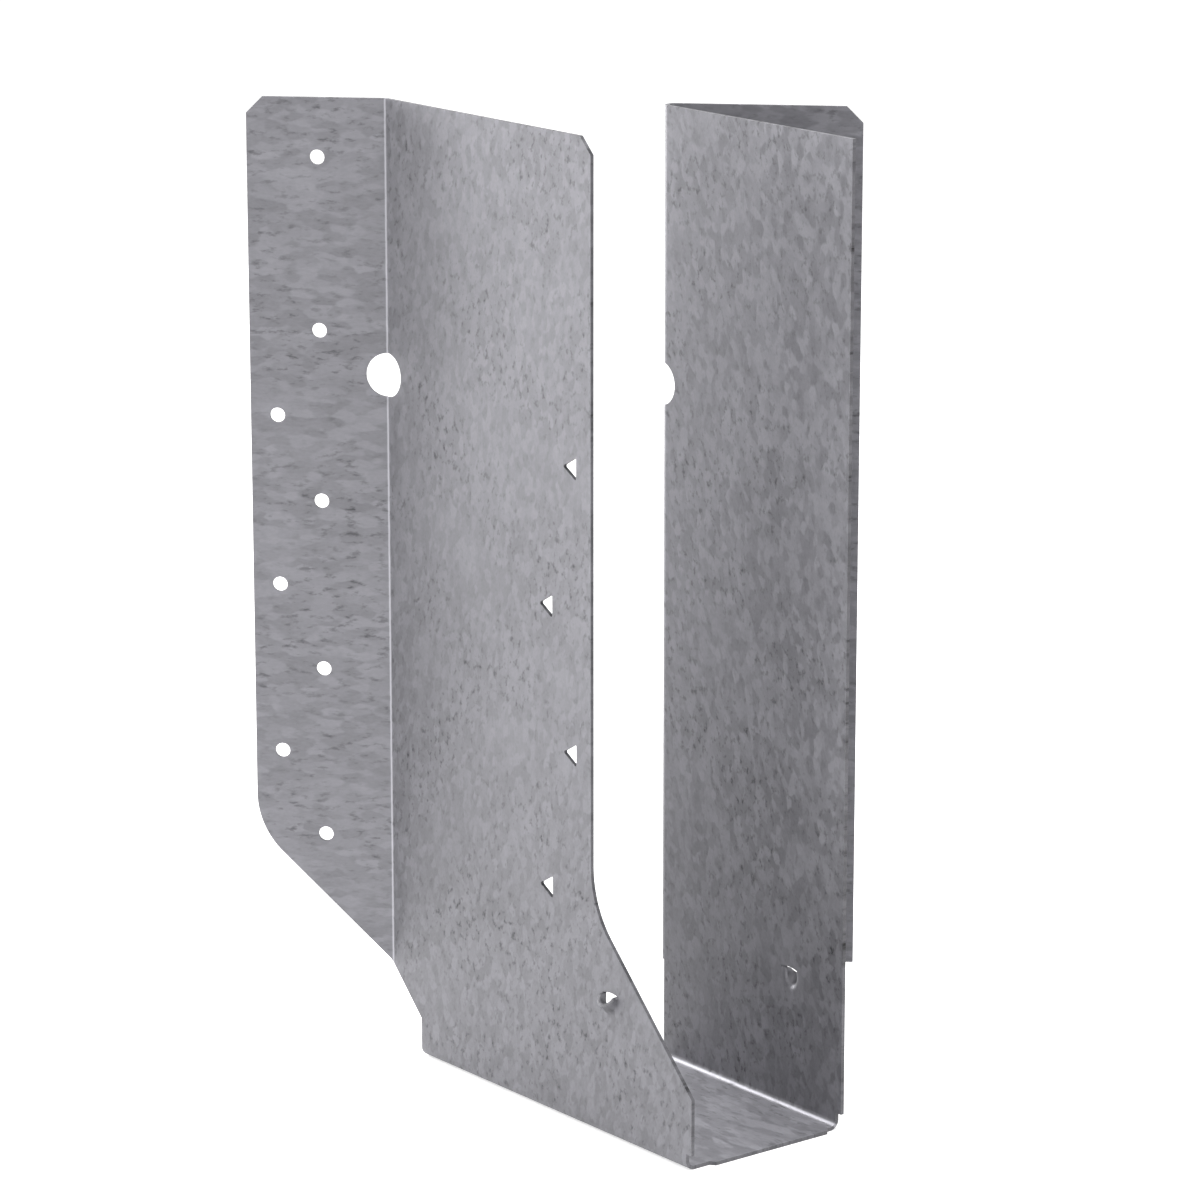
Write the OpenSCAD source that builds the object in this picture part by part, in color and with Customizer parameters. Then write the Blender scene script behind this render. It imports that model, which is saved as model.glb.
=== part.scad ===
// Skewed joist hanger folded from one blank of galvanised sheet.
// Millimetres, +Z up, +Y into the header, +X along the header.
// The origin is on the header face, on the middle line of the joist channel,
// level with the underside of the seat.

/* [Sheet] */
// Sheet thickness, 18 gauge with its zinc
sheet = 1.1; // [0.9:0.1:1.6]
// Outside radius of every fold
fold_r = 3; // [2.5:0.1:4]

/* [Channel] */
// Clear width for the joist between the two side plates
joist_w = 53.975; // [45:0.5:64]
// Height of the side plates above the seat's underside
hanger_h = 285.75; // [270:0.25:300]

/* [Side plates] */
// Front edge of both plates, along the joist from the near fold's corner
plate_front = 141; // [136:0.5:150]
// Front edge of the near plate above its sweep
near_front = 95.6; // [93:0.2:100]
// Sum of run and height on the near plate's 45 degree front slope
slope_sum = 162.5; // [158:0.5:166]
// Radius of the sweep between the slope and the upright front edge
sweep_r = 28; // [20:1:32]
// Corner cut at the top of the near plate
plate_chamfer = 4.8; // [2:0.2:8]
// Where the near plate's lower back edge stands
near_back = 13.83; // [10:0.1:18]
// Sum of run and height on the near plate's lower back slope
near_back_sum = 25.7; // [24:0.1:26]
// Where the far plate's lower back edge stands
far_back = 60.5; // [56:0.1:60.7]

/* [Header flanges] */
// Width of the near flange from its fold to its outer edge
near_flange = 39.84; // [38:0.1:44]
// Width of the far flange from its fold to its outer edge
far_flange = 53.4; // [50:0.1:60]
// Corner cut at the top of both flanges
flange_chamfer = 4.76; // [2:0.2:8]
// Height where the far flange and its fold are cut off square
far_flange_z = 31.1; // [28:0.1:40]
// Radius of the near flange's lower sweep
flange_sweep = 25.4; // [18:0.2:30]
// Height where the near flange's 45 degree lower edge meets its fold
near_flange_z = 26.957; // [24:0.1:28]

/* [Holes] */
// Diameter of the round nail holes
nail_d = 4.4; // [4:0.1:5]
// Height step between nail rows
nail_pitch = 25.4; // [24:0.1:26]
// Height of the lowest nail row
nail_low = 65.2; // [62:0.2:68]
// Nail column next to the outer edge of a flange
outer_col = 7.9; // [7:0.1:10]
// Nail column further in
inner_col = 20.6; // [18:0.1:24]
// Diameter of the round hole across each upright fold
fold_hole = 13; // [10:0.5:16]
// Height of that hole
fold_hole_z = 204.9; // [195:0.5:212]
// Height of a triangular hole, from its base to its point
tri_h = 6; // [5:0.1:7]
// Run of the triangular holes nearer to the joist's front
tri_front = 89; // [84:0.5:92]
// Run of the triangular holes nearer to the header
tri_rear = 78; // [72:0.5:82]
// Height of the highest triangular hole
tri_top = 192.2; // [180:0.5:200]
// Height step between triangular holes
tri_step = 41.33; // [36:0.5:44]

/* [Seat] */
// Front lip of the seat, along the joist
lip = 140.2; // [138.5:0.1:142]
// Where the corner notches of the seat end
notch_s = 138.7; // [134:0.1:139]
// Height of the corner notches on the side plates
notch_h = 5.1; // [4.5:0.1:8]
// Gap from the near fold to the lip's near end
lip_near = 5.5; // [4:0.1:8]
// Gap from the far fold to the lip's far end
lip_far = 1.2; // [1:0.1:4]
// Slant of the lip's ends
lip_slant = 1.2; // [0:0.1:2]

/* [Joist nails] */
// Run of the near plate's raised nail mouth
near_mouth = 104.1; // [100:0.1:110]
// Run of the far plate's raised nail mouth
far_mouth = 118.3; // [112:0.1:124]
// Height at which the mouth's plane meets the outer face
mouth_z = 43.32; // [41:0.1:50]
// How far the nail's line stands out from the plate at its mouth
mouth_out = 0.92; // [0.6:0.02:1.2]

/* [Hidden] */
$fn = 96;
steel = [0.66, 0.66, 0.69];
skew = 45;                          // between the joist and the line square to the header
near_turn = 90 - skew;
far_turn = 90 + skew;
inner_r = fold_r - sheet;
far_in = sheet + joist_w;           // inner face of the far plate
far_out = far_in + sheet;           // its outer face
// Corner of the near fold's two outer faces, from the origin
corner_x = -(sheet + joist_w / 2 - sheet * sin(skew)) / cos(skew);
// The near fold turns round a post in front of it, the far fold round one outside the far plate
near_s = inner_r * (1 - sin(skew)) / cos(skew);
far_s = (far_out * sin(skew) + inner_r * (1 + sin(skew))) / cos(skew);
// Flat length that a fold of one degree uses up
flat_deg = (inner_r + 0.44 * sheet) * PI / 180;
hole_r = fold_hole / 2;
over = 1;
mouth_r = nail_d / 2 + sheet;       // outside radius of a raised nail mouth
mouth_leg = 6;                      // the straight sides of its U
flare_start = 0.2;                  // its flare begins this far off the inner face
flare_drop = 2.9;                   // and is centred this far below the mouth's plane
ledge = 0.01;                       // an arc stops this short of the line that it runs into
lap = 0.05;                         // flat panels run this far into the upright folds

// A flat plate drawn upright: outline in run and height, sheet from offset y.
module upright(y) {
    translate([0, y + sheet, 0]) rotate([90, 0, 0]) linear_extrude(sheet) children();
}

// An upright fold round its post, from one angle to another and from z0 to the top.
module fold(from, to, z0) {
    rotate_extrude(angle = to - from, start = from)
        translate([inner_r + ledge, z0 + ledge])
            square([sheet - 2 * ledge, hanger_h - z0 - 2 * ledge]);
}

// An equilateral triangle with rounded points, its base at x and its point towards the header.
module nail_triangle(x, z) {
    r = 0.45;
    translate([x - tri_h, z]) difference() {
        polygon([[0, 0], [tri_h, tri_h / sqrt(3)], [tri_h, -tri_h / sqrt(3)]]);
        for (a = [0, 120, 240]) translate([tri_h * 2 / 3, 0]) rotate(a) difference() {
            polygon([[-tri_h, -3], [-tri_h, 3], [-tri_h * 2 / 3 + 1.5 * r, r * cos(30)],
                [-tri_h * 2 / 3 + 2 * r, 0], [-tri_h * 2 / 3 + 1.5 * r, -r * cos(30)]]);
            translate([-tri_h * 2 / 3 + 2 * r, 0]) circle(r);
        }
    }
}

// The U that a joist nail lies in, driven inwards and down at 45 degrees from the mouth's plane.
// side is 1 on the near plate and -1 on the far one, y is the plate's outer face.
module nail_channel(r, s, y, side, deep) {
    translate([s, y - side * mouth_out, mouth_z - mouth_out])
        rotate([-135 * side, 0, 0]) linear_extrude(deep) {
            circle(r);
            translate([-r, side > 0 ? -mouth_leg : 0]) square([2 * r, mouth_leg]);
        }
}

// The raised lip round that nail, cut off at the sheet's inner face.
module nail_mouth(s, y, side) {
    intersection() {
        nail_channel(mouth_r, s, y, side, 9);
        translate([s - mouth_r - over, side > 0 ? y - 5 : y - sheet, mouth_z - 13])
            cube([2 * (mouth_r + over), 5 + sheet, 20]);
    }
}

// The channel inside that lip, with its flare on the inner face.
module nail_bore(s, y, side) {
    nail_channel(nail_d / 2, s, y, side, 12);
    translate([s, y + side * (sheet + flare_start), mouth_z - flare_drop]) rotate([90 * side, 0, 0])
        cylinder(r1 = mouth_r, r2 = nail_d / 2 - 0.1, h = sheet);
}

module near_plate() {
    // The sweep's middle, level with its upper end
    mid = [near_front + sweep_r, slope_sum + sweep_r * sqrt(2) - near_front - sweep_r];
    difference() {
        union() {
            upright(0) difference() {
                polygon([[near_s - lap, near_back_sum - near_s + lap], [near_back, near_back_sum - near_back],
                    [near_back, fold_r], [notch_s, fold_r], [notch_s, notch_h],
                    [plate_front, notch_h], [plate_front, slope_sum - plate_front],
                    mid - sweep_r * sqrt(0.5) * [1, 1], mid, [near_front, mid.y],
                    [near_front, hanger_h - plate_chamfer],
                    [near_front - plate_chamfer, hanger_h], [near_s - lap, hanger_h]]);
                translate(mid) circle(sweep_r - ledge);
                for (i = [0:3]) nail_triangle(i % 2 == 0 ? tri_front : tri_rear, tri_top - i * tri_step);
            }
            nail_mouth(near_mouth, 0, 1);
        }
        nail_bore(near_mouth, 0, 1);
        translate([near_s - near_turn * flat_deg / 2, -over, fold_hole_z]) punch();
    }
}

module far_plate() {
    difference() {
        union() {
            upright(far_in) polygon([[far_back, fold_r], [notch_s, fold_r], [notch_s, notch_h],
                [plate_front, notch_h], [plate_front, hanger_h], [far_s - lap, hanger_h],
                [far_s - lap, far_flange_z], [far_back, far_flange_z]]);
            nail_mouth(far_mouth, far_out, -1);
        }
        nail_bore(far_mouth, far_out, -1);
        translate([far_s - far_turn * flat_deg / 2, far_in - over, fold_hole_z]) punch();
    }
}

// The round punch for the hole across an upright fold, through a flat panel.
module punch() {
    rotate([-90, 0, 0]) cylinder(r = hole_r, h = sheet + 2 * over);
}

// A tall wedge of the plan, between two angles.
module wedge(from, to) {
    translate([0, 0, -over]) linear_extrude(hanger_h)
        polygon([[0, 0], 9 * [cos(from), sin(from)], 9 * [cos(to), sin(to)]]);
}

// The near fold, round its own post. Its lower end falls in three turns, as the cut runs on
// in the flat blank.
module near_fold() {
    turn = near_turn / 3;
    fall = (near_flange_z - (near_back_sum - near_s)) / 3;
    half = (inner_r + 0.44 * sheet) * sin(turn / 2);
    difference() {
        fold(90, 90 + near_turn, 0);
        for (i = [0:2]) intersection() {
            wedge(90 + turn * i - (i == 0 ? 9 : 0), 90 + turn * (i + 1) + (i == 2 ? 9 : 0));
            rotate([0, 0, 90 + turn * (i + 0.5)])
                translate([0, 0, near_flange_z - (2.5 - i) * fall]) rotate([90, 0, 90])
                    linear_extrude(8) polygon([[-4 * half, -2 * fall], [4 * half, 2 * fall],
                        [4 * half, -40], [-4 * half, -40]]);
        }
        rotate([0, 0, 90 + near_turn / 2]) translate([0, 0, fold_hole_z])
            rotate([0, 90, 0]) cylinder(r = hole_r, h = 2 * fold_r);
    }
}

// The far fold, round its own post. Its hole follows the flat blank in three turns.
module far_fold() {
    turn = far_turn / 3;
    from = 90 + skew;
    difference() {
        fold(from, from + far_turn, far_flange_z);
        for (i = [0:2]) intersection() {
            wedge(from + turn * i - (i == 0 ? 9 : 0), from + turn * (i + 1) + (i == 2 ? 9 : 0));
            rotate([0, 0, from + turn * (i + 0.5)])
                translate([0, (1 - i) * turn * flat_deg, fold_hole_z])
                    rotate([0, 90, 0]) cylinder(r = hole_r, h = 2 * fold_r);
        }
    }
}

// Round holes in a header flange, measured back from its outer edge.
module nail_holes(edge, inward) {
    for (i = [0:8]) if (i < 6 || i % 2 == 0)
        translate([edge + inward * (i % 2 == 0 ? inner_col : outer_col), inner_r - over,
            nail_low + i * nail_pitch])
            rotate([-90, 0, 0]) cylinder(r = nail_d / 2, h = sheet + 2 * over, $fn = 48);
}

// The near flange, drawn from its fold's post: x = 0 is where the fold ends.
module near_flange_plate() {
    mid = [flange_sweep - near_flange,
        near_flange_z + near_flange + flange_sweep * (sqrt(2) - 1)];
    difference() {
        upright(inner_r) difference() {
            polygon([[lap, near_flange_z - lap], [lap, hanger_h], [flange_chamfer - near_flange, hanger_h],
                [-near_flange, hanger_h - flange_chamfer],
                [-near_flange, near_flange_z + near_flange]]);
            difference() {
                polygon([mid, mid - [30, 0], mid - [30, 60], mid - [24, 60], mid - [24, 24]]);
                translate(mid) circle(flange_sweep);
            }
        }
        nail_holes(-near_flange, 1);
        translate([near_turn * flat_deg / 2, inner_r - over, fold_hole_z]) punch();
    }
}

module far_flange_plate() {
    difference() {
        upright(inner_r) polygon([[-lap, far_flange_z], [far_flange, far_flange_z],
            [far_flange, hanger_h - flange_chamfer], [far_flange - flange_chamfer, hanger_h],
            [-lap, hanger_h]]);
        nail_holes(far_flange, -1);
        translate([-far_turn * flat_deg / 2, inner_r - over, fold_hole_z]) punch();
    }
}

// The fold between the seat and a side plate, drawn along the joist.
module seat_fold(from, s0) {
    translate([s0, 0, 0]) rotate([90, 0, 90])
        rotate_extrude(angle = 90, start = from) translate([inner_r, 0]) square([sheet, notch_s - s0]);
}

module seat() {
    side = far_in - inner_r;
    linear_extrude(sheet) polygon([[near_back, fold_r], [far_back, side], [notch_s, side],
        [notch_s, side - lip_far], [lip, side - lip_far - lip_slant],
        [lip, fold_r + lip_near + lip_slant], [notch_s, fold_r + lip_near],
        [notch_s, fold_r]]);
    translate([0, fold_r, fold_r]) seat_fold(180, near_back);
    translate([0, side, fold_r]) seat_fold(270, far_back);
}

// The whole hanger, one folded sheet, drawn along the joist and then skewed.
module hanger() {
    color(steel) translate([corner_x, -sheet, 0]) rotate([0, 0, skew - 90]) union() {
        near_plate();
        seat();
        far_plate();
        translate([near_s, -inner_r, 0]) {
            near_fold();
            rotate([0, 0, near_turn]) near_flange_plate();
        }
        translate([far_s, far_out + inner_r, 0]) {
            far_fold();
            rotate([0, 0, skew]) far_flange_plate();
        }
    }
}

hanger();
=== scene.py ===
import math
import bmesh
import bpy
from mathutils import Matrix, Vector
from mathutils.geometry import delaunay_2d_cdt


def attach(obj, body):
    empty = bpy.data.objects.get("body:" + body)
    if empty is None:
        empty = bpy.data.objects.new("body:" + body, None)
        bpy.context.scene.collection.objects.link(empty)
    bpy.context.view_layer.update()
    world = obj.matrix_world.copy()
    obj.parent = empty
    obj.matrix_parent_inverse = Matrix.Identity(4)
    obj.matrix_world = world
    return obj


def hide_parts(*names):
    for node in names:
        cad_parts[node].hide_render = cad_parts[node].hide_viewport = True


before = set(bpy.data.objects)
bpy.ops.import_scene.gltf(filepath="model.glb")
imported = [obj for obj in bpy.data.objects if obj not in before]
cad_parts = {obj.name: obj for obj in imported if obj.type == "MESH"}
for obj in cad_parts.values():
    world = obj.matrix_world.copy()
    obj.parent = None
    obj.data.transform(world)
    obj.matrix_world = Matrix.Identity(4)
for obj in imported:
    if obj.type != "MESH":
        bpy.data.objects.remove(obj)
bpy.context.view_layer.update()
scene = bpy.context.scene


# small helpers for node trees

def joinSocket(tree, value, socket):
    # a link where the value is another node's output, else a plain number
    if isinstance(value, bpy.types.NodeSocket):
        tree.links.new(value, socket)
    else:
        socket.default_value = value


def addNode(tree, kind, settings=None, **inputs):
    node = tree.nodes.new(kind)
    for key, value in (settings or {}).items():
        setattr(node, key, value)
    for key, value in inputs.items():
        joinSocket(tree, value, node.inputs[key.replace("_", " ")])
    return node


def calc(tree, operation, *values):
    node = tree.nodes.new("ShaderNodeMath")
    node.operation = operation
    for slot, value in enumerate(values):
        joinSocket(tree, value, node.inputs[slot])
    return node.outputs[0]


# the flat blank, in millimetres: run along the joist, and width across the seat and up the plates

hangerSizes = {
    "sheet": 1.1, "foldOuter": 3.0, "joistWidth": 53.975, "height": 285.75, "neutral": 0.44,
    "plateFront": 141.0, "nearFront": 95.6, "slopeSum": 162.5, "sweep": 28.0, "plateChamfer": 4.8,
    "nearBack": 13.83, "nearBackSum": 25.7, "farBack": 60.5,
    "nearFlange": 39.84, "farFlange": 53.4, "flangeChamfer": 4.76, "farFlangeLow": 31.1,
    "flangeSweep": 25.4, "nearFlangeLow": 26.957, "skew": 45.0,
    "nail": 4.4, "nailPitch": 25.4, "nailLow": 65.2, "outerColumn": 7.9, "innerColumn": 20.6,
    "foldHole": 13.0, "foldHoleHeight": 204.9,
    "triangle": 6.0, "triangleRound": 0.45, "triangleRuns": (89.0, 78.0), "triangleTop": 192.2,
    "triangleStep": 41.33,
    "lip": 140.2, "notchRun": 138.7, "notchHeight": 5.1, "lipNear": 5.5, "lipFar": 1.2, "lipSlant": 1.2,
    "nearMouth": 104.1, "farMouth": 118.3, "mouthHeight": 43.32, "mouthOut": 0.92,
    "nailRows": 9, "fullNailRows": 6, "triangleCount": 4,
    "edgeRound": 0.14, "roundSteps": 2, "roundFrom": 55,
    # points on each arc, lines along each fold, and where the fold lines and the upright folds begin
    "sweepSteps": 24, "nailSteps": 40, "foldHoleSteps": 96, "triangleSteps": 8,
    "nearFoldLines": 12, "farFoldLines": 30, "seatFoldLines": 16, "foldLineSpare": 1,
    "foldLineLow": 20, "nearFoldLow": 15, "farFoldDrop": 0.2, "farFoldGap": 0.05,
    "mergeGap": 2e-3, "cutGap": 1e-5,
}
size = hangerSizes
foldInner = size["foldOuter"] - size["sheet"]
foldMiddle = size["foldOuter"] - size["sheet"] / 2
foldFlat = foldInner + size["neutral"] * size["sheet"]      # flat length that a turn of one radian uses
seatHalf = size["joistWidth"] / 2 + size["sheet"] - size["foldOuter"]
seatFlat = foldFlat * math.pi / 2
skewSin = math.sin(math.radians(size["skew"]))
skewCos = math.cos(math.radians(size["skew"]))
nearTurn = math.radians(90 - size["skew"])
farTurn = math.radians(90 + size["skew"])
cornerX = -(size["sheet"] + size["joistWidth"] / 2 - size["sheet"] * skewSin) / skewCos
nearStart = foldInner * (1 - skewSin) / skewCos
farStart = ((2 * size["sheet"] + size["joistWidth"]) * skewSin + foldInner * (1 + skewSin)) / skewCos
nearEnd = nearStart - foldFlat * nearTurn
farEnd = farStart - foldFlat * farTurn


def plateSpot(side, run, height):
    # a point of a side plate or header flange on the blank; side is -1 near, 1 far
    return (run, side * (seatHalf + seatFlat + height - size["foldOuter"]))


def arcSpots(middle, radius, fromDeg, toDeg, steps):
    return [(middle[0] + radius * math.cos(math.radians(fromDeg + (toDeg - fromDeg) * i / steps)),
             middle[1] + radius * math.sin(math.radians(fromDeg + (toDeg - fromDeg) * i / steps)))
            for i in range(steps + 1)]


def nearOutline():
    # run and height of the near side, from the seat's front round to its back
    top = size["height"]
    edge = nearEnd - size["nearFlange"]
    spots = [(size["notchRun"], size["foldOuter"]), (size["notchRun"], size["notchHeight"]),
             (size["plateFront"], size["notchHeight"]),
             (size["plateFront"], size["slopeSum"] - size["plateFront"])]
    middle = (size["nearFront"] + size["sweep"],
              size["slopeSum"] + size["sweep"] * math.sqrt(2) - size["nearFront"] - size["sweep"])
    spots += arcSpots(middle, size["sweep"], 225, 180, size["sweepSteps"])
    spots += [(size["nearFront"], top - size["plateChamfer"]),
              (size["nearFront"] - size["plateChamfer"], top),
              (edge + size["flangeChamfer"], top), (edge, top - size["flangeChamfer"])]
    middle = (edge + size["flangeSweep"],
              size["nearFlangeLow"] + size["nearFlange"] + size["flangeSweep"] * (math.sqrt(2) - 1))
    spots += arcSpots(middle, size["flangeSweep"], 180, 225, size["sweepSteps"])
    spots += [(nearEnd, size["nearFlangeLow"]), (nearStart, size["nearBackSum"] - nearStart),
              (size["nearBack"], size["nearBackSum"] - size["nearBack"]),
              (size["nearBack"], size["foldOuter"])]
    return spots


def farOutline():
    # the far side, from the seat's back round to its front
    top = size["height"]
    edge = farEnd - size["farFlange"]
    return [(size["farBack"], size["foldOuter"]), (size["farBack"], size["farFlangeLow"]),
            (edge, size["farFlangeLow"]), (edge, top - size["flangeChamfer"]),
            (edge + size["flangeChamfer"], top), (size["plateFront"], top),
            (size["plateFront"], size["notchHeight"]), (size["notchRun"], size["notchHeight"]),
            (size["notchRun"], size["foldOuter"])]


def blankOutline():
    spots = [plateSpot(-1, run, height) for run, height in nearOutline()]
    spots += [(size["nearBack"], -seatHalf), (size["farBack"], seatHalf)]
    spots += [plateSpot(1, run, height) for run, height in farOutline()]
    farSide, nearSide = seatHalf, -seatHalf
    spots += [(size["notchRun"], farSide), (size["notchRun"], farSide - size["lipFar"]),
              (size["lip"], farSide - size["lipFar"] - size["lipSlant"]),
              (size["lip"], nearSide + size["lipNear"] + size["lipSlant"]),
              (size["notchRun"], nearSide + size["lipNear"]), (size["notchRun"], nearSide)]
    return spots


def blankHoles():
    holes = []

    def roundHole(side, run, height, radius, steps):
        ring = arcSpots((run, height), radius, 0, 360, steps)[:-1]
        holes.append([plateSpot(side, *spot) for spot in ring])

    for side, edge in ((-1, nearEnd - size["nearFlange"]), (1, farEnd - size["farFlange"])):
        for row in range(size["nailRows"]):
            if row < size["fullNailRows"] or row % 2 == 0:
                column = size["innerColumn"] if row % 2 == 0 else size["outerColumn"]
                height = size["nailLow"] + row * size["nailPitch"]
                roundHole(side, edge + column, height, size["nail"] / 2, size["nailSteps"])
    for side, middle in ((-1, (nearStart + nearEnd) / 2), (1, (farStart + farEnd) / 2)):
        roundHole(side, middle, size["foldHoleHeight"], size["foldHole"] / 2, size["foldHoleSteps"])
    inner = size["triangle"] * 2 / 3 - 2 * size["triangleRound"]
    for row in range(size["triangleCount"]):
        base = size["triangleRuns"][row % 2]
        height = size["triangleTop"] - row * size["triangleStep"]
        middle = (base - size["triangle"] / 3, height)
        spots = []
        for corner in (180, 300, 60):
            spot = (middle[0] + inner * math.cos(math.radians(corner)),
                    middle[1] + inner * math.sin(math.radians(corner)))
            spots += arcSpots(spot, size["triangleRound"], corner - 60, corner + 60, size["triangleSteps"])
        holes.append([plateSpot(-1, *spot) for spot in spots])
    return holes


# the raised mouths: a U pressed out along the joist nail, from its footprint up to the mouth's plane

mouthSizes = {
    "wallSteps": 8, "bendSteps": 28, "riseSteps": 9, "archSteps": 18,
    "tail": 1.6, "shortTail": 0.1, "bow": 0.9, "arch": 0.55, "rings": (0.3, 0.6, 0.95, 1.4, 2.0),
    "softReach": 1.3, "softRounds": 9, "softRise": 0.6, "softPull": 0.5,
}


def mouthColumns(side, run):
    # for each line of the U: its foot on the sheet and its end on the mouth's plane, as run, height, rise
    radius = size["nail"] / 2 + size["sheet"] / 2
    rise = size["mouthOut"] + size["sheet"] / 2
    middle = size["mouthHeight"] - size["mouthOut"]
    wall = mouthSizes["wallSteps"]
    bend = mouthSizes["bendSteps"]
    columns = []
    for step in range(-wall, bend + wall + 1):
        if step < 0 or step > bend:
            part = (-step if step < 0 else step - bend) / wall
            tail = mouthSizes["tail" if (step < 0) == (side > 0) else "shortTail"]
            out = (radius + tail * part ** 5) * (-1 if step < 0 else 1)
            bow = mouthSizes["bow"]
            columns.append(((run + out, middle - rise + (2 * rise - bow) * part, 0.0),
                            (run + out, middle + (rise - bow) * part, rise * (1 - part))))
        else:
            angle = math.pi * step / bend - math.pi / 2
            drop = radius * math.cos(angle)
            out = run + radius * math.sin(angle)
            columns.append(((out, middle - rise - math.sqrt(2) * drop, 0.0),
                            (out, middle - drop / math.sqrt(2), rise + drop / math.sqrt(2))))
    return columns


def mouthHole(side, run):
    # the window that the U leaves in the flat sheet: its footprint and the arched upper cut
    feet = [column[0][:2] for column in mouthColumns(side, run)]
    first, last = feet[0], feet[-1]
    count = mouthSizes["archSteps"]
    top = [(last[0] + (first[0] - last[0]) * i / count,
            last[1] + mouthSizes["arch"] * math.sin(math.pi * i / count)) for i in range(1, count)]
    return [plateSpot(side, *spot) for spot in feet + top]


def loopArea(loop):
    # twice the area, positive where the loop runs anticlockwise
    return sum(a[0] * b[1] - b[0] * a[1] for a, b in zip(loop, loop[1:] + loop[:1]))


def ringsRound(loop):
    # the same loop moved out by each ring's distance
    turn = 1 if loopArea(loop) > 0 else -1
    rings = []
    for reach in mouthSizes["rings"]:
        ring = []
        for i, spot in enumerate(loop):
            before, after = loop[i - 1], loop[(i + 1) % len(loop)]
            along = Vector((after[0] - before[0], after[1] - before[1])).normalized()
            ring.append((spot[0] + turn * along.y * reach, spot[1] - turn * along.x * reach))
        rings.append(ring)
    return rings


def flatSheet():
    # triangles of the flat blank: corners as run, width and rise, with the lines that the folds need
    spots, lines, faces = [], [], []

    def addLoop(loop, asFace=True):
        first = len(spots)
        count = len(loop)
        spots.extend(Vector(spot) for spot in (loop if loopArea(loop) > 0 else loop[::-1]))
        if asFace:
            faces.append([first + i for i in range(count)])
        else:
            lines.extend((first + i, first + (i + 1) % count) for i in range(count))

    def addLine(start, end):
        spots.extend((Vector(start), Vector(end)))
        lines.append((len(spots) - 2, len(spots) - 1))

    addLoop(blankOutline())
    for hole in blankHoles():
        addLoop(hole)
    mouths = [(-1, size["nearMouth"]), (1, size["farMouth"])]
    for side, run in mouths:
        addLoop(mouthHole(side, run))
    windowCount = len(faces)
    for side, run in mouths:
        for ring in ringsRound(mouthHole(side, run)):
            addLoop(ring, asFace=False)
    spare = size["foldLineSpare"]
    top = size["height"] + spare
    uprightFolds = [(-1, nearStart, nearEnd, size["nearFoldLines"], size["foldLineLow"]),
                    (1, farStart, farEnd, size["farFoldLines"], size["farFlangeLow"] - size["farFoldDrop"])]
    for side, start, end, count, low in uprightFolds:
        for i in range(count + 1):
            run = start + (end - start) * i / count
            addLine(plateSpot(side, run, low), plateSpot(side, run, top))
    count = size["seatFoldLines"]
    for side, back in ((-1, size["nearBack"]), (1, size["farBack"])):
        for i in range(count + 1):
            across = side * (seatHalf + seatFlat * i / count)
            addLine((back - spare, across), (size["notchRun"] + spare, across))
    corners, _, triangles, _, _, owners = delaunay_2d_cdt(spots, lines, faces, 0, size["cutGap"])
    kept = [tri for tri, owner in zip(triangles, owners)
            if 0 in owner and not any(0 < face < windowCount for face in owner)]
    return [(c.x, c.y, 0.0) for c in corners], [list(tri) for tri in kept]


def addMouth(corners, faces, side, run):
    # rows of the U from its foot to the mouth's plane
    columns = mouthColumns(side, run)
    rise = mouthSizes["riseSteps"]
    first = len(corners)
    for foot, end in columns:
        for row in range(rise + 1):
            spot = [a + (b - a) * row / rise for a, b in zip(foot, end)]
            corners.append((*plateSpot(side, spot[0], spot[1]), spot[2]))
    for i in range(len(columns) - 1):
        for row in range(rise):
            a = first + i * (rise + 1) + row
            b = a + rise + 1
            faces.append([a, b, b + 1, a + 1])


def softenMouths(mesh):
    # round the bend at the foot of each U, leaving the cut edges where they are
    links = {}
    uses = {}
    for face in mesh.polygons:
        for key in face.edge_keys:
            uses[key] = uses.get(key, 0) + 1
    rims = {v for key, count in uses.items() if count == 1 for v in key}
    feet = []
    for side, run in ((-1, size["nearMouth"]), (1, size["farMouth"])):
        feet += [Vector(plateSpot(side, *column[0][:2])) for column in mouthColumns(side, run)]
    near = {}
    for v in mesh.vertices:
        gap = min((foot - v.co.to_2d()).length for foot in feet) + abs(v.co.z) * mouthSizes["softRise"]
        if gap < mouthSizes["softReach"] and v.index not in rims:
            near[v.index] = mouthSizes["softPull"] * (1 - (gap / mouthSizes["softReach"]) ** 2)
    for edge in mesh.edges:
        for a, b in (edge.vertices, reversed(edge.vertices)):
            if a in near:
                links.setdefault(a, []).append(b)
    for _ in range(mouthSizes["softRounds"]):
        moved = {}
        for index, weight in near.items():
            mean = sum((mesh.vertices[other].co for other in links[index]), Vector()) / len(links[index])
            moved[index] = mesh.vertices[index].co.lerp(mean, weight)
        for index, spot in moved.items():
            mesh.vertices[index].co = spot


# the folding, as one node tree

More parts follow.
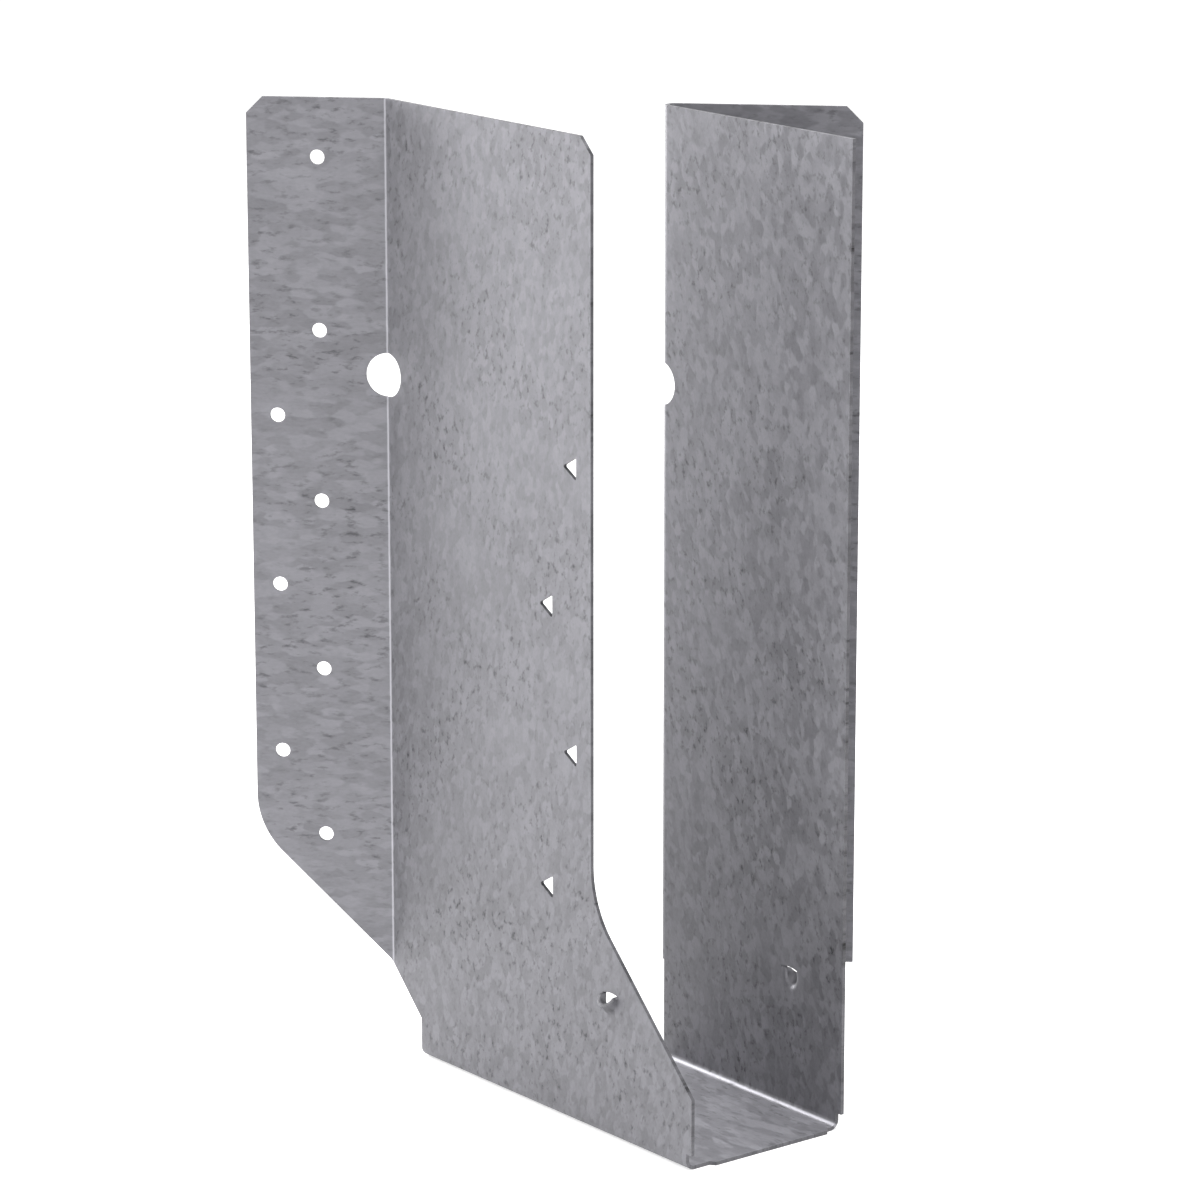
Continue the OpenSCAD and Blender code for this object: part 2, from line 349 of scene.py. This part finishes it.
def bendGroup():
    # one bend: how far a point lies past the bend's start, and its rise towards the bend's middle
    tree = bpy.data.node_groups.new("bendStrip", "GeometryNodeTree")
    for name in ("Along", "Rise", "Radius", "Flat Length", "Turn"):
        tree.interface.new_socket(name, in_out="INPUT", socket_type="NodeSocketFloat")
    for name in ("Along", "Rise"):
        tree.interface.new_socket(name, in_out="OUTPUT", socket_type="NodeSocketFloat")
    given = tree.nodes.new("NodeGroupInput").outputs
    past = calc(tree, "MINIMUM", calc(tree, "MAXIMUM", given["Along"], 0.0), given["Flat Length"])
    angle = calc(tree, "MULTIPLY", calc(tree, "DIVIDE", past, given["Flat Length"]), given["Turn"])
    ahead = calc(tree, "MINIMUM", given["Along"], 0.0)
    beyond = calc(tree, "MAXIMUM", calc(tree, "SUBTRACT", given["Along"], given["Flat Length"]), 0.0)
    arm = calc(tree, "SUBTRACT", given["Radius"], given["Rise"])
    sine, cosine = calc(tree, "SINE", angle), calc(tree, "COSINE", angle)
    along = calc(tree, "ADD", ahead, calc(tree, "ADD", calc(tree, "MULTIPLY", arm, sine),
                                          calc(tree, "MULTIPLY", beyond, cosine)))
    rise = calc(tree, "ADD", calc(tree, "SUBTRACT", given["Radius"], calc(tree, "MULTIPLY", arm, cosine)),
                calc(tree, "MULTIPLY", beyond, sine))
    result = tree.nodes.new("NodeGroupOutput")
    tree.links.new(along, result.inputs["Along"])
    tree.links.new(rise, result.inputs["Rise"])
    return tree


def foldTree(bend):
    tree = bpy.data.node_groups.new("foldHanger", "GeometryNodeTree")
    tree.interface.new_socket("Geometry", in_out="INPUT", socket_type="NodeSocketGeometry")
    for name in foldInputs:
        tree.interface.new_socket(name, in_out="INPUT", socket_type="NodeSocketFloat")
    tree.interface.new_socket("Material", in_out="INPUT", socket_type="NodeSocketMaterial")
    tree.interface.new_socket("Geometry", in_out="OUTPUT", socket_type="NodeSocketGeometry")
    given = tree.nodes.new("NodeGroupInput").outputs
    place = addNode(tree, "GeometryNodeInputPosition").outputs[0]
    spot = addNode(tree, "ShaderNodeSeparateXYZ", Vector=place).outputs
    run, width, press = spot["X"], spot["Y"], spot["Z"]
    farSide = calc(tree, "GREATER_THAN", width, 0.0)
    reach = calc(tree, "ABSOLUTE", width)

    def pick(nearName, farName):
        step = calc(tree, "SUBTRACT", given[farName], given[nearName])
        return calc(tree, "MULTIPLY_ADD", step, farSide, given[nearName])

    # the upright folds at the header, which stop short of the seat
    start, turn = pick("Near Fold Run", "Far Fold Run"), pick("Near Turn", "Far Turn")
    high = calc(tree, "GREATER_THAN", reach, pick("Near Fold Low", "Far Fold Low"))
    along = calc(tree, "MULTIPLY", calc(tree, "SUBTRACT", start, run), high)
    flat = calc(tree, "MULTIPLY", given["Flat Per Radian"], turn)
    upright = addNode(tree, "GeometryNodeGroup", {"node_tree": bend}, Along=along, Rise=press,
                      Radius=given["Fold Radius"], Flat_Length=flat, Turn=turn).outputs
    run = calc(tree, "SUBTRACT", calc(tree, "ADD", run, along), upright["Along"])

    # the long folds at the seat
    past = calc(tree, "SUBTRACT", reach, given["Seat Half Width"])
    quarter = calc(tree, "MULTIPLY", given["Flat Per Radian"], math.pi / 2)
    long = addNode(tree, "GeometryNodeGroup", {"node_tree": bend}, Along=past,
                   Rise=calc(tree, "MULTIPLY", upright["Rise"], -1.0), Radius=given["Fold Radius"],
                   Flat_Length=quarter, Turn=math.pi / 2).outputs
    across = calc(tree, "MULTIPLY", calc(tree, "SIGN", width),
                  calc(tree, "ADD", given["Seat Half Width"], long["Along"]))
    folded = addNode(tree, "ShaderNodeCombineXYZ", X=run,
                     Z=calc(tree, "ADD", long["Rise"], given["Seat Level"]),
                     Y=calc(tree, "ADD", across, given["Channel Middle"])).outputs[0]

    # turned to the skew and put behind the header face, in metres
    turned = addNode(tree, "ShaderNodeVectorRotate", {"rotation_type": "Z_AXIS"}, Vector=folded,
                     Angle=given["Joist Angle"]).outputs[0]
    moved = addNode(tree, "ShaderNodeVectorMath", {"operation": "ADD"})
    tree.links.new(turned, moved.inputs[0])
    corner = addNode(tree, "ShaderNodeCombineXYZ", X=given["Corner X"], Y=given["Corner Y"]).outputs[0]
    tree.links.new(corner, moved.inputs[1])
    scaled = addNode(tree, "ShaderNodeVectorMath", {"operation": "SCALE"}, Vector=moved.outputs[0],
                     Scale=0.001)
    shaped = addNode(tree, "GeometryNodeSetPosition", Geometry=given["Geometry"],
                     Position=scaled.outputs[0])
    painted = addNode(tree, "GeometryNodeSetMaterial", Geometry=shaped.outputs[0],
                      Material=given["Material"])
    real = addNode(tree, "GeometryNodeRealizeInstances", Geometry=painted.outputs[0])
    result = tree.nodes.new("NodeGroupOutput")
    tree.links.new(real.outputs[0], result.inputs["Geometry"])
    return tree


foldInputs = {
    "Near Fold Run": nearStart, "Far Fold Run": farStart, "Near Turn": nearTurn, "Far Turn": farTurn,
    "Near Fold Low": abs(plateSpot(-1, 0, size["nearFoldLow"])[1]),
    "Far Fold Low": plateSpot(1, 0, size["farFlangeLow"] - size["farFoldGap"])[1],
    "Fold Radius": foldMiddle, "Flat Per Radian": foldFlat, "Seat Half Width": seatHalf,
    "Seat Level": size["sheet"] / 2, "Channel Middle": size["joistWidth"] / 2 + size["sheet"],
    "Joist Angle": math.radians(size["skew"] - 90), "Corner X": cornerX, "Corner Y": -size["sheet"],
}


# the galvanised finish, drawn on the flat blank in millimetres so that it follows the folds

finishLook = {
    "zinc": (0.215, 0.213, 0.232), "metallic": 0.4, "roughness": 0.45,
    "patchScale": 0.46, "patchTone": 0.34, "patchSoftness": 0.4, "patchRoughness": 0.12,
    "fleckScale": 0.55, "fleckTone": 0.5, "fleckRange": (0.02, 0.22), "fleckRoughness": 0.12,
    "cloudScale": 0.02, "cloudTone": 0.3, "grainScale": 1.3, "grainTone": 0.3,
    "crowdScale": 0.035, "crowdRange": (-0.16, 0.16), "crowdLeast": 0.25,
    "lean": 0.2, "standingStretch": 0.62, "lyingStretch": 0.4, "wanderScale": 0.5, "wander": 1.5,
    # painted shade: the low tone darkens the lower side plates
    "lowShadeTone": -0.18, "lowFrom": 40.0, "lowTo": 240.0, "seatFoldHighlightRange": (0.1, 0.8), "wornRoughness": -0.12,
    # painted highlights: the fold tone and the seat tone brighten the bends
    "cutSteelAndShadeTone": -0.45, "cornerWearAndHighlightTone": 1.3, "foldHighlightTone": 1.1, "foldRubAndHighlightWidth": 0.6, "seatFoldHighlightTone": 1.2,
    "bumpStrength": 0.16, "bumpDepth": 0.00025, "patchBump": 0.5, "grainBump": 0.4, "fleckBump": -0.4,
    "noiseRoughness": 0.6, "crowdDetail": 1.0, "fleckDetail": 3.0, "cloudDetail": 2.0, "grainDetail": 3.0,
    "wanderDetail": 2.0,
}


def galvanised():
    look = finishLook
    material = bpy.data.materials.new("galvanisedSheet")
    material.use_nodes = True
    tree = material.node_tree
    shader = tree.nodes["Principled BSDF"]
    flat = addNode(tree, "ShaderNodeUVMap", {"uv_map": "blank"}).outputs[0]
    inMillimetres = addNode(tree, "ShaderNodeVectorMath", {"operation": "SCALE"}, Vector=flat,
                            Scale=1000.0).outputs[0]
    spot = addNode(tree, "ShaderNodeSeparateXYZ", Vector=inMillimetres).outputs
    run, width = spot["X"], spot["Y"]
    reach = calc(tree, "ABSOLUTE", width)

    # the drawing lies level on the flanges and the seat, and stands up on the side plates
    farSide = calc(tree, "GREATER_THAN", width, 0.0)
    nearFold, farFold = (nearStart + nearEnd) / 2, (farStart + farEnd) / 2
    foldRun = calc(tree, "MULTIPLY_ADD", farSide, farFold - nearFold, nearFold)
    level = calc(tree, "MAXIMUM", calc(tree, "LESS_THAN", run, foldRun),
                 calc(tree, "LESS_THAN", reach, seatHalf + seatFlat / 2))

    def blend(standing, lying):
        return calc(tree, "MULTIPLY_ADD", level, calc(tree, "SUBTRACT", lying, standing), standing)

    tiltedRun = calc(tree, "MULTIPLY_ADD", width, look["lean"], run)
    tiltedWidth = calc(tree, "MULTIPLY_ADD", run, -look["lean"], width)
    standingWidth = calc(tree, "MULTIPLY", tiltedWidth, look["standingStretch"])
    lyingRun = calc(tree, "MULTIPLY", run, look["lyingStretch"])
    drawn = addNode(tree, "ShaderNodeCombineXYZ", X=blend(tiltedRun, lyingRun),
                    Y=blend(standingWidth, width)).outputs[0]

    def noise(scale, detail, vector):
        node = addNode(tree, "ShaderNodeTexNoise", Vector=vector, Scale=scale, Detail=detail,
                       Roughness=look["noiseRoughness"])
        return calc(tree, "SUBTRACT", node.outputs[0], 0.5)

    def ramp(value, start, end):
        return addNode(tree, "ShaderNodeMapRange", {"interpolation_type": "SMOOTHSTEP"}, Value=value,
                       From_Min=start, From_Max=end).outputs[0]

    def total(*terms):
        result = terms[0]
        for term in terms[1:]:
            result = calc(tree, "ADD", result, term)
        return result

    wander = addNode(tree, "ShaderNodeTexNoise", Vector=drawn, Scale=look["wanderScale"],
                     Detail=look["wanderDetail"])
    moved = addNode(tree, "ShaderNodeVectorMath", {"operation": "MULTIPLY_ADD"})
    tree.links.new(wander.outputs[1], moved.inputs[0])
    moved.inputs[1].default_value = (look["wander"], look["wander"], 0)
    tree.links.new(drawn, moved.inputs[2])
    cells = addNode(tree, "ShaderNodeTexVoronoi", {"feature": "SMOOTH_F1"}, Vector=moved.outputs[0],
                    Scale=look["patchScale"], Smoothness=look["patchSoftness"])
    shade = addNode(tree, "ShaderNodeSeparateColor", Color=cells.outputs["Color"]).outputs[0]
    patch = calc(tree, "SUBTRACT", shade, 0.5)
    crowded = ramp(noise(look["crowdScale"], look["crowdDetail"], inMillimetres), *look["crowdRange"])
    spread = calc(tree, "MULTIPLY_ADD", crowded, 1 - look["crowdLeast"], look["crowdLeast"])
    speck = ramp(noise(look["fleckScale"], look["fleckDetail"], drawn), *look["fleckRange"])
    fleck = calc(tree, "MULTIPLY", speck, spread)
    cloud = noise(look["cloudScale"], look["cloudDetail"], inMillimetres)
    grain = noise(look["grainScale"], look["grainDetail"], drawn)

    # painted shade: the zinc is drawn a little darker low on both side plates, away from the cut faces
    cut = addNode(tree, "ShaderNodeAttribute", {"attribute_name": "cutFace"}).outputs["Fac"]
    uncut = calc(tree, "SUBTRACT", 1.0, cut)
    plate = calc(tree, "MULTIPLY", calc(tree, "SUBTRACT", 1.0, level), uncut)
    lower = calc(tree, "SUBTRACT", 1.0, ramp(reach, look["lowFrom"], look["lowTo"]))
    low = calc(tree, "MULTIPLY", plate, lower)

    # painted highlight: the upright folds and the far seat fold are drawn brighter where their bends catch
    # the light, and the upright folds are also drawn smoother
    # cut faces are bare steel drawn darker, partly as painted shade; their rounded corners are worn, drawn
    # smoother and brighter, partly as a painted highlight
    offFold = calc(tree, "ABSOLUTE", calc(tree, "SUBTRACT", run, foldRun))
    upFold = calc(tree, "GREATER_THAN", reach, seatHalf + seatFlat)
    foldRubAndHighlight = calc(tree, "MULTIPLY", upFold,
                  calc(tree, "SUBTRACT", 1.0, ramp(offFold, 0.0, look["foldRubAndHighlightWidth"])))
    offSeatFold = calc(tree, "ABSOLUTE", calc(tree, "SUBTRACT", reach, seatHalf + seatFlat / 2))
    besideFold = ramp(offSeatFold, *look["seatFoldHighlightRange"])
    seatFoldHighlight = calc(tree, "MULTIPLY", farSide, calc(tree, "SUBTRACT", 1.0, besideFold))
    cornerWearAndHighlight = addNode(tree, "ShaderNodeAttribute", {"attribute_name": "roundedCornerWearAndHighlight"}).outputs["Fac"]

    # painted shade and highlight in the tone: the cut term darkens bare cut faces, partly as painted shade,
    # and the corner term brightens worn corners, partly as a painted highlight
    tone = calc(tree, "MULTIPLY_ADD", patch, look["patchTone"], 1.0)
    for value, amount in ((fleck, -look["fleckTone"]), (cloud, look["cloudTone"]),
                          (grain, look["grainTone"]),
                          (foldRubAndHighlight, look["foldHighlightTone"]), (seatFoldHighlight, look["seatFoldHighlightTone"]), (cut, look["cutSteelAndShadeTone"]),
                          (cornerWearAndHighlight, look["cornerWearAndHighlightTone"]), (low, look["lowShadeTone"])):
        tone = calc(tree, "ADD", tone, calc(tree, "MULTIPLY", value, amount))
    colour = addNode(tree, "ShaderNodeVectorMath", {"operation": "SCALE"}, Vector=look["zinc"], Scale=tone)
    tree.links.new(colour.outputs[0], shader.inputs["Base Color"])
    rough = total(calc(tree, "MULTIPLY_ADD", patch, look["patchRoughness"], look["roughness"]),
                  calc(tree, "MULTIPLY", fleck, look["fleckRoughness"]),
                  calc(tree, "MULTIPLY", foldRubAndHighlight, look["wornRoughness"]),
                  calc(tree, "MULTIPLY", cornerWearAndHighlight, look["wornRoughness"]))
    tree.links.new(rough, shader.inputs["Roughness"])
    shader.inputs["Metallic"].default_value = look["metallic"]
    height = total(calc(tree, "MULTIPLY", patch, look["patchBump"]),
                   calc(tree, "MULTIPLY", grain, look["grainBump"]),
                   calc(tree, "MULTIPLY", fleck, look["fleckBump"]))
    bump = addNode(tree, "ShaderNodeBump", Strength=look["bumpStrength"], Distance=look["bumpDepth"],
                   Height=height)
    tree.links.new(bump.outputs[0], shader.inputs["Normal"])
    return material


def markEdges(mesh):
    # the thickness and edge rounding left these slot numbers: 1 on cut faces, 2 on rounded corners
    cut = mesh.attributes.new("cutFace", "FLOAT", "FACE")
    cornerWearAndHighlight = mesh.attributes.new("roundedCornerWearAndHighlight", "FLOAT", "FACE")
    for face in mesh.polygons:
        cut.data[face.index].value = float(face.material_index == 1)
        cornerWearAndHighlight.data[face.index].value = float(face.material_index == 2)
    for face in mesh.polygons:
        face.material_index = 0
    while len(mesh.materials) > 1:
        mesh.materials.pop()


def buildHanger():
    corners, faces = flatSheet()
    addMouth(corners, faces, -1, size["nearMouth"])
    addMouth(corners, faces, 1, size["farMouth"])
    mesh = bpy.data.meshes.new("hangerBlank")
    mesh.from_pydata(corners, [], faces)
    mesh.validate()
    bm = bmesh.new()
    bm.from_mesh(mesh)
    bmesh.ops.remove_doubles(bm, verts=bm.verts, dist=size["mergeGap"])
    bmesh.ops.delete(bm, geom=[v for v in bm.verts if not v.link_faces], context="VERTS")
    bmesh.ops.recalc_face_normals(bm, faces=bm.faces)
    if sum(face.normal.z * face.calc_area() for face in bm.faces) < 0:
        bmesh.ops.reverse_faces(bm, faces=bm.faces)
    uvLayer = bm.loops.layers.uv.new("blank")
    for face in bm.faces:
        for loop in face.loops:
            loop[uvLayer].uv = (loop.vert.co.x * 0.001, loop.vert.co.y * 0.001)
    bm.to_mesh(mesh)
    bm.free()
    softenMouths(mesh)
    blank = bpy.data.objects.new("hangerBlank", mesh)
    scene.collection.objects.link(blank)
    tree = foldTree(bendGroup())
    fold = blank.modifiers.new("fold", "NODES")
    fold.node_group = tree
    sockets = {item.name: item.identifier for item in tree.interface.items_tree if item.in_out == "INPUT"}
    for name, value in foldInputs.items():
        fold[sockets[name]] = value
    finish = galvanised()
    fold[sockets["Material"]] = finish
    for _ in range(3):
        mesh.materials.append(finish)
    solid = blank.modifiers.new("thickness", "SOLIDIFY")
    solid.thickness = size["sheet"] * 0.001
    solid.offset = 0
    solid.use_rim = True
    solid.material_offset_rim = 1
    rounding = blank.modifiers.new("edges", "BEVEL")
    rounding.width = size["edgeRound"] * 0.001
    rounding.segments = size["roundSteps"]
    rounding.limit_method = "ANGLE"
    rounding.angle_limit = math.radians(size["roundFrom"])
    rounding.use_clamp_overlap = True
    rounding.material = 2
    weighted = blank.modifiers.new("shading", "WEIGHTED_NORMAL")
    weighted.keep_sharp = False
    for face in mesh.polygons:
        face.use_smooth = True
    depsgraph = bpy.context.evaluated_depsgraph_get()
    solidMesh = bpy.data.meshes.new_from_object(blank.evaluated_get(depsgraph), depsgraph=depsgraph)
    bpy.data.objects.remove(blank)
    markEdges(solidMesh)
    piece = bpy.data.objects.new("hangerSheet", solidMesh)
    solidMesh.name = "hangerSheet"
    scene.collection.objects.link(piece)
    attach(piece, "root")
    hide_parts("hanger")
    print("hanger folded:", len(solidMesh.polygons), "faces")


buildHanger()

# floor, world, lamps and camera

stageLook = {
    "floorSize": 12.0, "floorLevel": -0.0001, "floorTone": 0.8, "floorGlow": 0.6, "worldPlain": 0.6,
}


def buildStage():
    half = stageLook["floorSize"] / 2
    mesh = bpy.data.meshes.new("floor")
    corners = [(-half, -half, 0), (half, -half, 0), (half, half, 0), (-half, half, 0)]
    mesh.from_pydata(corners, [], [(0, 1, 2, 3)])
    floor = bpy.data.objects.new("floor", mesh)
    scene.collection.objects.link(floor)
    floor.location.z = stageLook["floorLevel"]
    material = bpy.data.materials.new("paleFloor")
    material.use_nodes = True
    tree = material.node_tree
    tree.nodes.clear()
    tone = stageLook["floorTone"]
    diffuse = addNode(tree, "ShaderNodeBsdfDiffuse", Color=(tone, tone, tone, 1))
    glow = addNode(tree, "ShaderNodeEmission", Color=(1, 1, 1, 1), Strength=stageLook["floorGlow"])
    both = tree.nodes.new("ShaderNodeAddShader")
    tree.links.new(diffuse.outputs[0], both.inputs[0])
    tree.links.new(glow.outputs[0], both.inputs[1])
    rays = tree.nodes.new("ShaderNodeLightPath").outputs
    seen = calc(tree, "MAXIMUM", rays["Is Camera Ray"],
                calc(tree, "MAXIMUM", rays["Is Glossy Ray"], rays["Is Transmission Ray"]))
    mix = addNode(tree, "ShaderNodeMixShader", Fac=seen)
    tree.links.new(diffuse.outputs[0], mix.inputs[1])
    tree.links.new(both.outputs[0], mix.inputs[2])
    out = tree.nodes.new("ShaderNodeOutputMaterial")
    tree.links.new(mix.outputs[0], out.inputs["Surface"])
    mesh.materials.append(material)


def buildWorld():
    world = bpy.data.worlds.new("studio")
    scene.world = world
    world.use_nodes = True
    tree = world.node_tree
    background = tree.nodes["Background"]
    rays = tree.nodes.new("ShaderNodeLightPath").outputs
    seen = calc(tree, "MAXIMUM", rays["Is Camera Ray"],
                calc(tree, "MAXIMUM", rays["Is Glossy Ray"], rays["Is Transmission Ray"]))
    plain = stageLook["worldPlain"]
    strength = calc(tree, "MULTIPLY_ADD", seen, 1 - plain, plain)
    background.inputs["Color"].default_value = (1, 1, 1, 1)
    tree.links.new(strength, background.inputs["Strength"])


def addLamp(name, spot, target, width, power):
    light = bpy.data.lights.new(name, "AREA")
    light.shape = "SQUARE"
    light.size = width
    light.energy = power
    lamp = bpy.data.objects.new(name, light)
    scene.collection.objects.link(lamp)
    lamp.location = spot
    lamp.rotation_euler = (Vector(target) - Vector(spot)).to_track_quat("-Z", "Y").to_euler()


buildStage()
buildWorld()
lampAim = (0, -0.05, 0.14)
lampSpots = {
    "behindHigh": ((-0.45, 0.55, 1.0), 0.5, 9),
    "behindLow": ((-1.3, 0.75, 0.55), 0.9, 27),
    "overChannel": ((0.2, -0.28, 1.0), 0.3, 7),
    "leftSide": ((-1.4, -0.3, 0.5), 0.8, 1.5),
}
for lampName, (spot, width, power) in lampSpots.items():
    addLamp(lampName, spot, lampAim, width, power)

cameraView = {
    "place": (0.192078, -1.410476, 0.491345), "down": 0.24309449, "yaw": 0.11903873,
    "lens": 150.0, "sensor": 36,
}
cameraData = bpy.data.cameras.new("camera")
cameraData.lens = cameraView["lens"]
cameraData.sensor_width = cameraView["sensor"]
camera = bpy.data.objects.new("camera", cameraData)
scene.collection.objects.link(camera)
camera.location = cameraView["place"]
camera.rotation_euler = (math.pi / 2 - cameraView["down"], 0, cameraView["yaw"])
scene.camera = camera
scene.view_settings.view_transform = "Standard"
print("stage, lamps and camera set")
